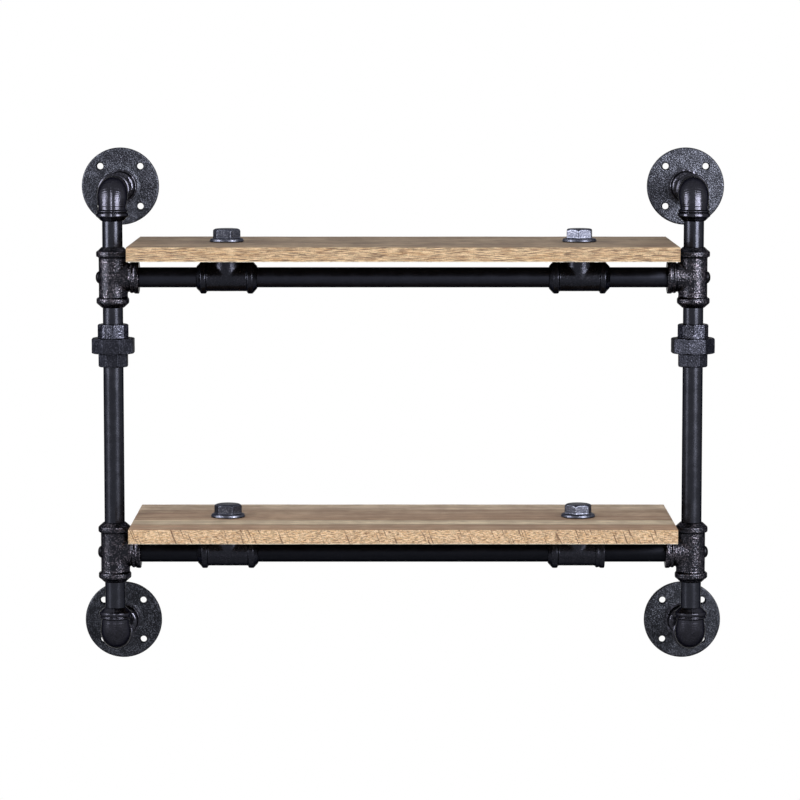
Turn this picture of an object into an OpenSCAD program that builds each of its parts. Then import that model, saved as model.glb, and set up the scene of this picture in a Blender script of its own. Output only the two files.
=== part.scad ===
// Two-tier wall shelf: two boards carried by screwed iron pipe on four wall flanges.
// The wall is the plane y = 0 and the front faces -y. The origin lies on the wall, in the
// middle of the four wall flanges. Millimetres.

/* [Frame] */
// Distance between the axes of the two posts
post_spacing = 610; // [450:1:1200]
// Distance between the axes of the two rails
rail_spacing = 291; // [210:1:500]
// Distance from each elbow axis to the frame tee on the same post
elbow_rise = 91; // [75:1:200]
// Distance from the wall to the post axes
standoff = 115; // [110:1:300]
// Distance from a post axis to the deck tee next to it
deck_inset = 120; // [80:1:200]
// Bare pipe between an upper frame tee and the union below it
union_drop = 17; // [6:0.5:60]

/* [Pipe] */
// Outside diameter of all pipe
pipe_od = 21.3; // [18:0.1:27]
// Wall thickness of all pipe
pipe_wall = 2.75; // [2:0.05:3.5]
// How much smaller the threaded ends are than the pipe
thread_drop = 0.5; // [0.2:0.1:1]
// Length of thread that goes into each fitting
thread_len = 13; // [10:0.5:16]

/* [Tees and elbows] */
// Distance from the centre of a fitting to the end of the pipe in it
pipe_stop = 15; // [13.5:0.5:20]
// Wall of a fitting around the thread
fitting_wall = 4.3; // [3:0.1:6]
// Height of the band around each end of a fitting
band_rise = 2.6; // [1:0.1:4]
// Width of the band where a tapered collar follows it
band_w = 5.5; // [3:0.5:8]
// Width of the band around a flat end
flat_band_w = 9.5; // [5:0.5:12]
// Depth of the plain collar in front of the thread
collar_len = 4; // [2:0.5:6]
// Length of the taper outside the collar
taper_len = 5; // [3:0.5:7]
// Wall left at the thin edge of the collar
collar_edge = 0.6; // [0.4:0.1:1.5]
// Radius of the centre line of an elbow
bend_radius = 18; // [17:0.5:20]
// Free thread beyond the end of the pipe
thread_relief = 0.5; // [0.2:0.1:1.5]

/* [Wall flanges] */
// Outside diameter of a flange
flange_d = 83.5; // [76:0.5:110]
// Thickness of the flange plate
flange_t = 4.5; // [3:0.1:7]
// Height of the hub above the wall
hub_h = 19; // [17:0.5:30]
// Wall of the hub around the thread
hub_wall = 5.6; // [4:0.1:7]
// Radius of the fillet at the foot of the hub
hub_fillet = 4; // [1:0.5:5]
// Radius on the front edge of the hub
hub_edge = 3; // [0.5:0.5:3]
// Radius on the front edge of the plate
rim_radius = 1.2; // [0.5:0.1:2]
// Diameter of the circle of screw holes
hole_circle_d = 61; // [54:0.5:68]
// Diameter of a screw hole
hole_d = 6.8; // [4:0.1:8]

/* [Unions] */
// Wall of the head and the tail around the thread, at the flats
union_wall = 4.75; // [3.5:0.05:6]
// Height of the eight-sided part of the head
union_head_h = 14.6; // [14:0.1:24]
// Height of the eight-sided part of the tail
union_tail_h = 14.2; // [14:0.1:24]
// Height of the nut
union_nut_h = 16.5; // [15:0.5:24]
// Wall of the nut outside its thread, at the flats
union_nut_wall = 4.2; // [3:0.1:6]
// Wall of the tail where it passes through the nut
union_neck_wall = 4; // [3:0.1:4.5]
// How far the tail's flange stands out inside the nut
union_flange_rise = 3; // [2:0.1:5]
// Thickness of the tail's flange
union_flange_t = 4; // [3:0.1:5]
// Thickness of the nut's lip behind the flange
union_lip_t = 4; // [3:0.1:5]
// Height of the tapered seat between head and tail
union_seat_h = 2.5; // [1:0.1:3]
// Chamfer on the corners of the eight-sided parts
union_chamfer = 1.2; // [0.5:0.1:2]

/* [Boards] */
// Depth of a board from front to back
board_depth = 200; // [120:1:215]
// Thickness of a board
board_t = 15.5; // [12:0.5:30]
// Height of a board's underside above the rail axis
board_rise = 22; // [19:0.5:26]

/* [Shelf bolts] */
// Width of the bolt head across its flats
bolt_af = 26; // [20:0.5:32]
// Height of the six-sided head above its flange
bolt_head_h = 10.4; // [6:0.1:16]
// Diameter of the flange under the head
bolt_flange_d = 36; // [34:0.5:50]
// Thickness of the flange under the head
bolt_flange_t = 3.5; // [1.5:0.1:5]
// Length of thread in the deck tee
bolt_grip = 12; // [8:0.5:14]

/* [Rail screws] */
// Diameter of the screw thread
screw_d = 6; // [4:0.5:8]
// Diameter of the screw head
screw_head_d = 12.5; // [10:0.5:16]
// Height of the screw head
screw_head_h = 4.6; // [3:0.1:6]
// Width of the socket in the head across its flats
screw_socket_af = 4; // [2:0.5:5]
// Depth of the socket in the head
screw_socket_h = 2.4; // [1.5:0.1:3]
// Length of the threaded insert in the rail
insert_len = 12; // [8:0.5:20]
// Distance of the insert behind the end of the rail
insert_inset = 0.5; // [0:0.1:3]

/* [Clearances] */
// Gap around every engaged thread and inner fit
thread_gap = 0.1; // [0.05:0.05:0.3]
// Gap around a pipe inside a collar
collar_gap = 0.15; // [0.05:0.05:0.4]
// Gap between a pipe's full diameter and the fitting's thread
shoulder_gap = 0.3; // [0.1:0.1:1]
// Gap between each end of a board and the nearest tee
board_end_gap = 4.2; // [1:0.1:20]
// Gap around a tee in the pocket under the board
pocket_gap = 0.5; // [0.2:0.1:2]
// Gap around a bolt in the board
bolt_hole_gap = 0.6; // [0.2:0.1:2]
// Gap between the faces of head, nut and tail
union_gap = 0.1; // [0.05:0.05:0.3]
// Gap around a screw in the tee, and around its head in its seat
screw_gap = 0.25; // [0.1:0.05:0.5]

/* [Hidden] */
$fn = 64;

LEVELS = ["upper", "lower"];
SIDES = ["left", "right"];
CORNER_NODES = ["wall_flange", "standoff_nipple", "elbow", "riser_nipple", "frame_tee",
    "rail_screw", "rail_insert", "rail_end_pipe", "deck_tee", "shelf_bolt"];
POST_NODES = ["union_nipple", "union_head", "union_nut", "union_tail", "post_pipe"];
LEVEL_NODES = ["rail_middle_pipe", "board"];

iron = "#2b2c31";
pipe_black = "#34353c";
bolt_grey = "#4a4d57";
board_wood = "#a5855f";

pipe_r = pipe_od / 2;
bore_r = pipe_r - pipe_wall;
thread_r = pipe_r - thread_drop / 2;
socket_r = thread_r + thread_gap;

body_r = thread_r + fitting_wall;
band_r = body_r + band_rise;
flat_reach = pipe_stop + thread_len;
collar_reach = flat_reach + collar_len;
lip_r = pipe_r + collar_gap + collar_edge;

hub_r = thread_r + hub_wall;

post_x = post_spacing / 2;
deck_x = post_x - deck_inset;
rail_z = rail_spacing / 2;
elbow_z = rail_z + elbow_rise;
board_len = post_spacing - 2 * (band_r + board_end_gap);
pocket_h = flat_reach - board_rise;
pocket_r = band_r + pocket_gap;
bolt_seat = board_rise + board_t;

union_top = rail_z - collar_reach - union_drop;
nut_z = union_top - union_head_h - union_nut_h / 2;
union_bottom = union_top - union_head_h - union_nut_h - union_tail_h;
neck_r = thread_r + union_neck_wall;
union_flange_r = neck_r + union_flange_rise;
union_thread_r = union_flange_r + union_gap;
union_af = 2 * (thread_r + union_wall);
nut_af = 2 * (union_thread_r + thread_gap + union_nut_wall);
nut_step = union_lip_t - union_nut_h / 2;
tail_face = nut_step + union_gap + union_flange_t;
head_face = tail_face + union_gap;
seat_foot_r = bore_r + union_seat_h + 1;

screw_seat_r = screw_head_d / 2 + screw_gap;
screw_seat_x = sqrt(pow(body_r, 2) - pow(screw_seat_r, 2));
insert_start = pipe_stop + insert_inset;

// How far each eight-sided part is turned from a corner facing the front, left then right
head_turn = [5, 0];
nut_turn = [20, -16];
tail_turn = [21, -23];
// The same for the six-sided bolt heads: upper left, upper right, lower left, lower right
bolt_turn = [18, -6, 20, -14];

// Points along an arc
function arc(x, y, r, from, to, steps = 8) =
    [for (i = [0 : steps]) let (a = from + (to - from) * i / steps) [x + r * cos(a), y + r * sin(a)]];

// Radius at the corners of a regular polygon, from its width across the flats
function corner_r(af, sides) = af / 2 / cos(180 / sides);

// ---- Pipe and fitting ends, each along +z ----

// A length of pipe with both ends threaded
module pipe(length) {
    thread = thread_len + shoulder_gap;
    rotate_extrude()
        polygon([
            [bore_r, 0], [thread_r, 0], [thread_r, thread], [pipe_r, thread],
            [pipe_r, length - thread], [thread_r, length - thread], [thread_r, length], [bore_r, length]
        ]);
}

// Outside of one end of a fitting, from `start` outwards
module end_body(collar, start = 0) {
    band_end = collar ? collar_reach - taper_len : flat_reach;
    band_start = band_end - (collar ? band_w : flat_band_w);
    tip = collar ? [[lip_r, collar_reach], [0, collar_reach]] : [[0, flat_reach]];
    rotate_extrude()
        polygon(concat(
            [[0, start], [body_r, start], [body_r, band_start], [band_r, band_start], [band_r, band_end]],
            tip
        ));
}

// Inside of one end of a fitting: the way through, the thread and the collar
module end_bore(collar, start = 0) {
    translate([0, 0, start])
        cylinder(h = collar_reach, r = bore_r);
    translate([0, 0, pipe_stop - thread_relief])
        cylinder(h = collar_reach, r = socket_r);
    if (collar)
        translate([0, 0, flat_reach])
            cylinder(h = collar_reach, r = pipe_r + collar_gap);
}

// ---- Fittings about their own centres ----

// Tee with its run along z and its flat branch along +x. The list says which run ends, top and
// bottom, have a collar.
module tee(collars = [true, true]) {
    difference() {
        union() {
            end_body(collars[0]);
            mirror([0, 0, 1]) end_body(collars[1]);
            rotate([0, 90, 0]) end_body(false);
        }
        end_bore(collars[0]);
        mirror([0, 0, 1]) end_bore(collars[1]);
        rotate([0, 90, 0]) end_bore(false);
    }
}

// Quarter turn of a round bar between the two legs of an elbow, along +y and +z
module bend(r) {
    translate([0, bend_radius, bend_radius])
        rotate([90, 0, 90])
            rotate([0, 0, 180])
                rotate_extrude(angle = 90)
                    translate([bend_radius, 0])
                        circle(r);
}

// Elbow with one leg along +y, to the wall, and one along +z
module elbow_body() {
    difference() {
        union() {
            bend(body_r);
            end_body(true, bend_radius);
            rotate([-90, 0, 0]) end_body(true, bend_radius);
        }
        bend(bore_r);
        end_bore(true, bend_radius);
        rotate([-90, 0, 0]) end_bore(true, bend_radius);
    }
}

// Prism with regular sides and its corners chamfered at top and bottom
module chamfered_prism(af, sides, h, turn, top = 1, bottom = 1) {
    corner = corner_r(af, sides);
    flat = af / 2;
    drop = union_chamfer;
    intersection() {
        rotate([0, 0, turn - 90])
            cylinder(h = h, r = corner, $fn = sides);
        rotate_extrude()
            polygon([
                [0, 0], [bottom ? flat : corner + 1, 0], [corner + 1, bottom ? drop : 0],
                [corner + 1, h - (top ? drop : 0)], [top ? flat : corner + 1, h], [0, h]
            ]);
    }
}

// ---- Sub-parts, each drawn for its left or upper place at the origin of its own fitting ----

module wall_flange() {
    rim = flange_d / 2;
    color(iron)
        difference() {
            rotate_extrude()
                polygon(concat(
                    [[socket_r, 0], [rim, 0]],
                    arc(rim - rim_radius, flange_t - rim_radius, rim_radius, 0, 90),
                    arc(hub_r + hub_fillet, flange_t + hub_fillet, hub_fillet, 270, 180),
                    arc(hub_r - hub_edge, hub_h - hub_edge, hub_edge, 0, 90),
                    [[socket_r, hub_h]]
                ));
            for (a = [45 : 90 : 315])
                rotate([0, 0, a])
                    translate([hole_circle_d / 2, 0, -1])
                        cylinder(h = flange_t + hub_fillet + 2, d = hole_d);
        }
}

module standoff_nipple() {
    color(pipe_black) pipe(standoff - pipe_stop - (hub_h - thread_len));
}

module elbow() {
    color(iron) elbow_body();
}

module riser_nipple() {
    color(pipe_black) pipe(elbow_rise - 2 * pipe_stop);
}

// The outer side has a flat seat and a hole for the rail screw
module frame_tee() {
    color(iron)
        difference() {
            tee();
            rotate([0, -90, 0]) {
                cylinder(h = body_r + 1, d = screw_d + 2 * screw_gap);
                translate([0, 0, screw_seat_x])
                    cylinder(h = screw_head_h, r = screw_seat_r);
            }
        }
}

// Round head outside the tee, shank through its middle into the insert
module rail_screw() {
    head_r = screw_head_d / 2;
    edge = screw_head_h / 3;
    dome = screw_head_h - edge;
    dome_r = (pow(head_r, 2) + pow(dome, 2)) / (2 * dome);
    spread = asin(head_r / dome_r);
    color(iron)
        rotate([0, -90, 0])
            difference() {
                union() {
                    translate([0, 0, screw_seat_x])
                        rotate_extrude()
                            polygon(concat(
                                [[0, 0], [head_r, 0]],
                                arc(0, screw_head_h - dome_r, dome_r, 90 - spread, 90)
                            ));
                    translate([0, 0, -insert_start - insert_len])
                        cylinder(h = screw_seat_x + insert_start + insert_len, d = screw_d);
                }
                translate([0, 0, screw_seat_x + screw_head_h - screw_socket_h])
                    cylinder(h = screw_head_h, r = corner_r(screw_socket_af, 6), $fn = 6);
            }
}

// Threaded ring inside the end of the rail
module rail_insert() {
    color(bolt_grey)
        translate([insert_start, 0, 0])
            rotate([0, 90, 0])
                difference() {
                    cylinder(h = insert_len, r = bore_r - thread_gap);
                    translate([0, 0, -1])
                        cylinder(h = insert_len + 2, d = screw_d + 2 * thread_gap);
                }
}

module rail_end_pipe() {
    color(pipe_black)
        translate([pipe_stop, 0, 0])
            rotate([0, 90, 0])
                pipe(deck_inset - 2 * pipe_stop);
}

module rail_middle_pipe() {
    color(pipe_black)
        translate([pipe_stop - deck_x, 0, 0])
            rotate([0, 90, 0])
                pipe(2 * (deck_x - pipe_stop));
}

// The branch points up into the board. The outer end is the one nearer to the post.
module deck_tee(outer_collar = true) {
    color(iron)
        rotate([0, -90, 0])
            tee([outer_collar, true]);
}

// Bolt from the top of the board into the deck tee
module shelf_bolt(turn) {
    flange_r = bolt_flange_d / 2;
    color(bolt_grey)
        translate([0, 0, bolt_seat]) {
            translate([0, 0, bolt_flange_t])
                chamfered_prism(bolt_af, 6, bolt_head_h, turn, bottom = 0);
            rotate_extrude()
                polygon([
                    [0, 0], [flange_r, 0], [flange_r, bolt_flange_t / 3],
                    [flange_r - bolt_flange_t / 4, bolt_flange_t], [0, bolt_flange_t]
                ]);
            translate([0, 0, flat_reach - bolt_grip - bolt_seat])
                cylinder(h = bolt_seat - flat_reach + bolt_grip, r = thread_r);
        }
}

// Board with a pocket and a hole over each deck tee
module board() {
    color(board_wood)
        difference() {
            translate([-board_len / 2, -board_depth / 2, board_rise])
                cube([board_len, board_depth, board_t]);
            for (x = [-deck_x, deck_x])
                translate([x, 0, 0]) {
                    cylinder(h = board_rise + pocket_h, r = pocket_r);
                    cylinder(h = bolt_seat + 1, r = thread_r + bolt_hole_gap);
                }
        }
}

module union_nipple() {
    color(pipe_black)
        translate([0, 0, union_top - thread_len])
            pipe(rail_z - pipe_stop - union_top + thread_len);
}

module post_pipe() {
    bottom = pipe_stop - rail_z;
    color(pipe_black)
        translate([0, 0, bottom])
            pipe(union_bottom + thread_len - bottom);
}

// Upper third of a union: a threaded spigot inside the nut under an eight-sided body
module union_head(turn) {
    top = union_nut_h / 2 + union_head_h;
    color(iron)
        difference() {
            union() {
                translate([0, 0, head_face])
                    cylinder(h = union_nut_h / 2 - head_face, r = union_thread_r);
                translate([0, 0, union_nut_h / 2])
                    chamfered_prism(union_af, 8, union_head_h, turn, bottom = 0);
            }
            translate([0, 0, head_face - 1])
                cylinder(h = top + union_nut_h, r = bore_r);
            translate([0, 0, head_face])
                rotate_extrude()
                    polygon([
                        [0, -1], [seat_foot_r + union_gap + 1, -1], [seat_foot_r + union_gap, 0],
                        [seat_foot_r + union_gap - union_seat_h, union_seat_h], [0, union_seat_h]
                    ]);
            translate([0, 0, top - thread_len - thread_relief])
                cylinder(h = thread_len + thread_relief + 1, r = socket_r);
        }
}

// Eight-sided nut that draws the tail's flange against the head
module union_nut(turn) {
    color(iron)
        difference() {
            translate([0, 0, -union_nut_h / 2])
                chamfered_prism(nut_af, 8, union_nut_h, turn);
            translate([0, 0, nut_step])
                cylinder(h = union_nut_h, r = union_thread_r + thread_gap);
            cylinder(h = 2 * union_nut_h, r = neck_r + union_gap, center = true);
        }
}

// Lower third of a union: an eight-sided body, a neck through the nut and a flange inside it
module union_tail(turn) {
    face = -union_nut_h / 2 - union_gap;
    color(iron)
        difference() {
            union() {
                translate([0, 0, -union_nut_h / 2 - union_tail_h])
                    chamfered_prism(union_af, 8, union_tail_h - union_gap, turn, top = 0);
                translate([0, 0, face])
                    cylinder(h = tail_face - face, r = neck_r);
                translate([0, 0, tail_face - union_flange_t])
                    cylinder(h = union_flange_t, r = union_flange_r);
                translate([0, 0, tail_face])
                    rotate_extrude()
                        polygon([
                            [0, -1], [seat_foot_r, -1], [seat_foot_r, 0],
                            [seat_foot_r - union_seat_h, union_seat_h], [0, union_seat_h]
                        ]);
            }
            cylinder(h = 4 * union_nut_h, r = bore_r, center = true);
            translate([0, 0, -union_nut_h / 2 - union_tail_h - 1])
                cylinder(h = thread_len + thread_relief + 1, r = socket_r);
        }
}

// ---- Places ----

// Moves a left-hand piece to the post, and mirrors it for the right-hand post
module at_side(side, x = post_x) {
    mirror([side == "right" ? 1 : 0, 0, 0])
        translate([-x, -standoff, 0])
            children();
}

// Places an upright piece at the height of a rail, on the upper or the lower level
module at_rail(level) {
    translate([0, 0, level == "upper" ? rail_z : -rail_z])
        children();
}

// Places a piece whose +z points to the middle of the shelf, and mirrors it for the lower level
module at_elbow(level) {
    mirror([0, 0, level == "lower" ? 1 : 0])
        translate([0, 0, elbow_z])
            mirror([0, 0, 1])
                children();
}

for (level = LEVELS, side = SIDES) {
    place = str("_", level, "_", side);
    turn = bolt_turn[(level == "upper" ? 0 : 2) + (side == "left" ? 0 : 1)];
    open_end = level == "lower" && side == "right";
    at_side(side) at_elbow(level) translate([0, standoff, 0]) rotate([90, 0, 0]) wall_flange();
    at_side(side) at_elbow(level) translate([0, pipe_stop, 0]) rotate([-90, 0, 0]) standoff_nipple();
    at_side(side) at_elbow(level) elbow();
    at_side(side) at_elbow(level) translate([0, 0, pipe_stop]) riser_nipple();
    at_side(side) at_rail(level) frame_tee();
    at_side(side) at_rail(level) rail_screw();
    at_side(side) at_rail(level) rail_insert();
    at_side(side) at_rail(level) rail_end_pipe();
    at_side(side, deck_x) at_rail(level) deck_tee(!open_end);
    at_side(side, deck_x) at_rail(level) shelf_bolt(side == "left" ? turn : -turn);
}

for (i = [0, 1]) {
    side = SIDES[i];
    // Turns are stated as seen from the front, so the mirrored side reverses them
    hand = side == "left" ? 1 : -1;
    at_side(side) union_nipple();
    at_side(side) translate([0, 0, nut_z]) union_head(hand * head_turn[i]);
    at_side(side) translate([0, 0, nut_z]) union_nut(hand * nut_turn[i]);
    at_side(side) translate([0, 0, nut_z]) union_tail(hand * tail_turn[i]);
    at_side(side) post_pipe();
}

for (level = LEVELS) {
    translate([0, -standoff, 0]) at_rail(level) rail_middle_pipe();
    translate([0, -standoff, 0]) at_rail(level) board();
}
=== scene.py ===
"""Wall shelf of two old boards carried by screwed iron pipe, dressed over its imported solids.
Metres: the wall is the plane y = 0, the front faces -y, the origin lies on the wall."""
import math

import bmesh
import bpy
from mathutils import Matrix, Vector


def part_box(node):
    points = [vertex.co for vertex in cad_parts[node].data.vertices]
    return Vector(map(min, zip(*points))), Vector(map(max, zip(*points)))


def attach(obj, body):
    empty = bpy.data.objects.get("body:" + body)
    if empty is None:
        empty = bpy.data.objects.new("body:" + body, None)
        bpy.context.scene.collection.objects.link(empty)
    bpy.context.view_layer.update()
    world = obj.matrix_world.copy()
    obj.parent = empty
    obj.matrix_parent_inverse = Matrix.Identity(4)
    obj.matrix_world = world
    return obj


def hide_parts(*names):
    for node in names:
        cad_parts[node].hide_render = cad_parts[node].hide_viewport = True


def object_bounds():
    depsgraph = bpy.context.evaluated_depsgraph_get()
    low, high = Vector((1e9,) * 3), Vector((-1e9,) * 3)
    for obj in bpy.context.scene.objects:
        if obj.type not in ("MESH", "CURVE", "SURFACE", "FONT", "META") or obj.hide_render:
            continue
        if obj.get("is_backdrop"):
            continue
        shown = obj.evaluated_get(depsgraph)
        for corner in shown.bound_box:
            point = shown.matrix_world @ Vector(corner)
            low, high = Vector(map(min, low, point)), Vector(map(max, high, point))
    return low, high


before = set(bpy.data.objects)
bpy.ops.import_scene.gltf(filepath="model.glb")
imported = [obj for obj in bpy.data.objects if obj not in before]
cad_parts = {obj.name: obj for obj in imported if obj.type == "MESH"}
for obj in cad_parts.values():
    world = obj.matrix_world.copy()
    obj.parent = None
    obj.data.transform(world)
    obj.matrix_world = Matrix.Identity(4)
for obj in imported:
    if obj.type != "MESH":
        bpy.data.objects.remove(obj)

solid_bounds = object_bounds()
mm = 0.001


# ---- Where things are, and how big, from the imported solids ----

def span(node):
    """Size of a solid along x, y and z."""
    low, high = (Vector(corner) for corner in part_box(node))
    return high - low


def middle(node):
    low, high = (Vector(corner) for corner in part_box(node))
    return (low + high) / 2


post_x = middle("post_pipe_right").x
pipe_y = middle("post_pipe_right").y
rail_z = middle("rail_middle_pipe_upper").z
elbow_z = middle("wall_flange_upper_right").z
deck_x = middle("shelf_bolt_upper_right").x
board_front, board_back = (corner[1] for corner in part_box("board_upper"))
nut_z = middle("union_nut_left").z

pipe_r = span("post_pipe_right").x / 2
bore_r = pipe_r - 2.75 * mm
socket_r = pipe_r - 0.15 * mm
collar_bore_r = pipe_r + 0.15 * mm
band_r = span("deck_tee_upper_left").y / 2
body_r = band_r - 2.6 * mm
collar_reach = span("frame_tee_upper_left").z / 2
flat_reach = 28 * mm
lip_r = pipe_r + 0.75 * mm
bend_r = 18 * mm
thread_start = 14.5 * mm

flange_r = span("wall_flange_upper_left").x / 2
hub_h = span("wall_flange_upper_left").y
flange_t = 4.5 * mm
hub_r = 16 * mm
hub_finish_r = 18.4 * mm
flange_hole_r = 3.4 * mm
flange_hole_circle_r = 30.5 * mm

union_flat = 15.15 * mm
nut_flat = 21.8 * mm
nut_h = span("union_nut_left").z
head_h = 14.6 * mm
tail_h = 14.2 * mm
union_thread = 13.5 * mm
spigot_r = 17.5 * mm
neck_r = 14.4 * mm
neck_hole_r = 14.5 * mm
nut_thread_r = 17.6 * mm
nut_lip = 4 * mm
seat_top_r = 11.5 * mm
tail_flange_r = 17.4 * mm
tail_flange_low = -4.15 * mm
tail_face = -0.15 * mm

bolt_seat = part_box("board_upper")[1][2] - rail_z
bolt_flange_r = span("shelf_bolt_upper_left").x / 2
bolt_flat = 13 * mm
bolt_shank_r = 10.4 * mm
bolt_end = 16 * mm
screw_head_r = 6.25 * mm
screw_seat = 13.2 * mm
screw_r = 3 * mm
screw_hole_r = 3.25 * mm
screw_key_r = 2.31 * mm

pocket_r = 17.8 * mm
pocket_depth = 6 * mm
bolt_hole_r = 11 * mm

LEVELS = (("upper", 1), ("lower", -1))
SIDES = (("left", -1), ("right", 1))


# ---- Bench tools ----

def clear_selection():
    if bpy.context.mode != "OBJECT":
        bpy.ops.object.mode_set(mode="OBJECT")
    bpy.ops.object.select_all(action="DESELECT")


def take(piece):
    """Makes one piece the selected and active one."""
    clear_selection()
    piece.select_set(True)
    bpy.context.view_layer.objects.active = piece


def bar(radius, low, high, sides=96):
    """Starts a round or many-sided bar upright on the z axis, in edit mode with its top face selected."""
    clear_selection()
    bpy.ops.mesh.primitive_cylinder_add(
        vertices=sides, radius=radius, depth=high - low, location=(0, 0, (low + high) / 2))
    piece = bpy.context.object
    bpy.ops.object.transform_apply(location=True, rotation=True, scale=True)
    pick_faces(piece, lambda place, normal: normal.z > 0.9)
    return piece


def open_up(piece):
    """Goes into edit mode on one piece."""
    if bpy.context.edit_object != piece:
        take(piece)
        bpy.ops.object.mode_set(mode="EDIT")


def pick_faces(piece, wanted):
    """Goes into edit mode with the faces selected whose middle and normal fit."""
    open_up(piece)
    bpy.ops.mesh.select_mode(type="FACE")
    bpy.ops.mesh.select_all(action="DESELECT")
    mesh = bmesh.from_edit_mesh(piece.data)
    for face in mesh.faces:
        if wanted(face.calc_center_median(), face.normal):
            face.select_set(True)
    bmesh.update_edit_mesh(piece.data)


def draw_out(height, radius):
    """Extrudes the selected round end to a new height on the z axis and a new radius."""
    mesh = bmesh.from_edit_mesh(bpy.context.edit_object.data)
    corner = next(v for v in mesh.verts if v.select).co.copy()
    bpy.ops.mesh.extrude_region_move(TRANSFORM_OT_translate={"value": (0, 0, height - corner.z)})
    scale = radius / corner.xy.length
    bpy.ops.transform.resize(value=(scale, scale, 1), center_override=(0, 0, height))


def finish_edit(piece):
    """Points every face outwards and leaves edit mode."""
    open_up(piece)
    bpy.ops.mesh.select_all(action="SELECT")
    bpy.ops.mesh.normals_make_consistent(inside=False)
    bpy.ops.object.mode_set(mode="OBJECT")
    return piece


def turn(piece, degrees, axis):
    """Turns a piece about one axis through the origin and keeps that in its mesh."""
    take(piece)
    piece.matrix_world = Matrix.Rotation(math.radians(degrees), 4, axis) @ piece.matrix_world
    bpy.ops.object.transform_apply(location=True, rotation=True, scale=True)
    return piece


def shift(piece, x=0, y=0, z=0):
    take(piece)
    bpy.ops.transform.translate(value=(x, y, z))
    bpy.ops.object.transform_apply(location=True, rotation=True, scale=True)
    return piece


def copy_of(piece):
    take(piece)
    bpy.ops.object.duplicate(linked=False)
    return bpy.context.object


def apply_modifier(piece, kind, **settings):
    take(piece)
    modifier = piece.modifiers.new(kind.lower(), kind)
    for key, value in settings.items():
        setattr(modifier, key, value)
    bpy.ops.object.modifier_apply(modifier=modifier.name)
    return piece


def weld(piece, *others):
    """Joins overlapping bodies into one."""
    for other in others:
        apply_modifier(piece, "BOOLEAN", operation="UNION", solver="EXACT", object=other)
        bpy.data.objects.remove(other)
    return piece


def cut(piece, *tools):
    """Cuts away what each tool covers, and puts the tool away."""
    for tool in tools:
        apply_modifier(piece, "BOOLEAN", operation="DIFFERENCE", solver="EXACT", object=tool)
        bpy.data.objects.remove(tool)
    return piece


def near(piece, name, weight_at):
    """Vertex group whose weight comes from each point's place, in steps of a tenth."""
    group = piece.vertex_groups.new(name=name)
    steps = {}
    for vertex in piece.data.vertices:
        weight = round(max(0, min(1, weight_at(vertex.co))), 1)
        if weight:
            steps.setdefault(weight, []).append(vertex.index)
    for weight, points in steps.items():
        group.add(points, weight, "REPLACE")
    return group


def cast(piece, grain, fillet_at=None, fillet_passes=0, soften=5):
    """Turns crisp bodies into one casting: an even skin, soft corners and full fillets."""
    apply_modifier(piece, "REMESH", mode="VOXEL", voxel_size=grain)
    if fillet_at:
        near(piece, "fillet", fillet_at)
        apply_modifier(piece, "SMOOTH", factor=0.5, iterations=fillet_passes, vertex_group="fillet")
    apply_modifier(piece, "SMOOTH", factor=0.5, iterations=soften)
    return piece


def roughen(piece, feature, depth):
    """Presses an uneven cast or worn surface into a piece, never outwards."""
    texture = bpy.data.textures.new("skin", "CLOUDS")
    texture.noise_scale = feature
    texture.noise_depth = 1
    group = "skin" if "skin" in piece.vertex_groups else ""
    apply_modifier(piece, "DISPLACE", texture=texture, texture_coords="LOCAL",
                   strength=depth, mid_level=1, vertex_group=group)
    bpy.data.textures.remove(texture)
    return piece


def shade(piece, angle=40):
    take(piece)
    bpy.ops.object.shade_smooth_by_angle(angle=math.radians(angle))
    return piece


def set_in_place(model, node, spot, mirrored="", degrees=0):
    """Copies a model to its node's place, mirrored across the named axes through the spot."""
    piece = copy_of(model)
    flip = Vector([-1 if axis in mirrored else 1 for axis in "xyz"])
    piece.matrix_world = (Matrix.Translation(spot) @ Matrix.Diagonal(flip.to_4d())
                          @ Matrix.Rotation(math.radians(degrees), 4, "Z"))
    bpy.ops.object.transform_apply(location=True, rotation=True, scale=True)
    if len(mirrored) % 2:
        finish_edit(piece)
    piece.name = piece.data.name = node + "_dressed"
    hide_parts(node)
    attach(piece, "root")
    return piece


# ---- Castings ----

def end_of_fitting(collar, plain_cone=True):
    """One end of a fitting along +z, from its middle: neck, band and cone, or neck and flat band."""
    piece = bar(body_r, -2 * mm, 10 * mm)
    if collar:
        top = collar_reach - 4.6 * mm
        draw_out(top - 6.2 * mm, body_r)
        draw_out(top - 5.9 * mm, band_r - 0.7 * mm)
        draw_out(top - 4.9 * mm, band_r)
        draw_out(top - 0.7 * mm, band_r)
        draw_out(top, band_r - 0.5 * mm)
        if plain_cone:
            draw_out(collar_reach - 0.2 * mm, lip_r + 0.5 * mm)
        else:
            draw_out(top + 1.3 * mm, band_r - 2.4 * mm)
            draw_out(top + 2.9 * mm, band_r - 4.0 * mm)
            draw_out(collar_reach - 0.2 * mm, lip_r + 0.3 * mm)
        draw_out(collar_reach, lip_r)
    else:
        draw_out(18 * mm, body_r)
        draw_out(18.5 * mm, band_r - 1.1 * mm)
        draw_out(19.3 * mm, band_r - 0.5 * mm)
        draw_out(20.8 * mm, band_r - 0.5 * mm)
        draw_out(21.6 * mm, band_r - 1.2 * mm)
        draw_out(22.4 * mm, band_r - 1.2 * mm)
        draw_out(23.2 * mm, band_r - 0.2 * mm)
        draw_out(24.4 * mm, band_r)
        draw_out(flat_reach - 0.5 * mm, band_r)
        draw_out(flat_reach, band_r - 0.6 * mm)
    return finish_edit(piece)


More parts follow.
